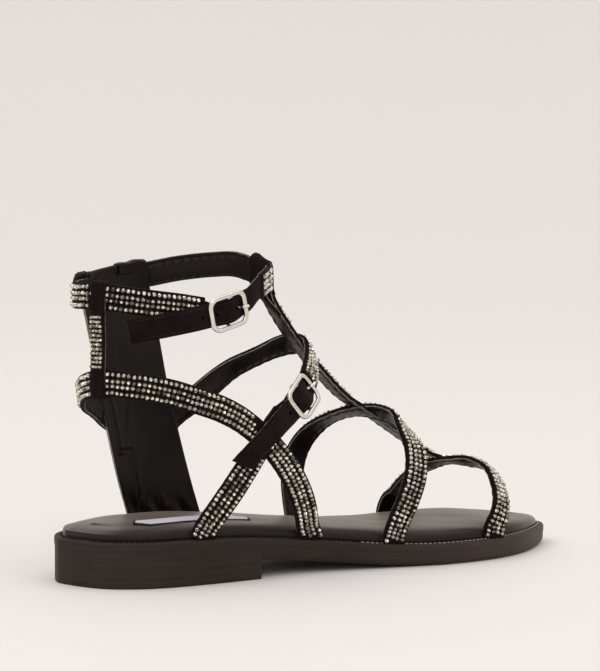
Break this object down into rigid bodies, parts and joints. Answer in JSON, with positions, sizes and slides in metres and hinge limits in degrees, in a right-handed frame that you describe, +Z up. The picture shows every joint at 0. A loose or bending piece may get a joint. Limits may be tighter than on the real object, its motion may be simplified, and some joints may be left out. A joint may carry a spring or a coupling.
{
  "type": "gladiator sandal",
  "caption": "Flat gladiator sandal for the right foot: low heel, padded footbed, narrow stone-set straps, a T strap, an inner ankle panel and buckles on the outer side.",
  "frame": {"origin": "centre of the box the sandal stands in, on the floor plane", "axes": "+X towards the toe, +Y towards the inner (medial) side, +Z up"},
  "size_m": [0.2498, 0.0766, 0.1372],
  "materials": {
    "sole_rubber": "matte black-brown moulded sole with faint level stack lines on the heel",
    "footbed_leather": "smooth black with a soft grey sheen",
    "strap_leather": "black suede outside set with smoky silver stones, smooth black lining inside",
    "buckle_metal": "satin silver"
  },
  "bodies": {
    "root": {"outsole": "sole_rubber", "footbed": "footbed_leather", "upper": "strap_leather", "ankle_buckle_frame": "buckle_metal", "ankle_buckle_prong": "buckle_metal", "instep_buckle_frame": "buckle_metal", "instep_buckle_prong": "buckle_metal"}
  },
  "joints": []
}
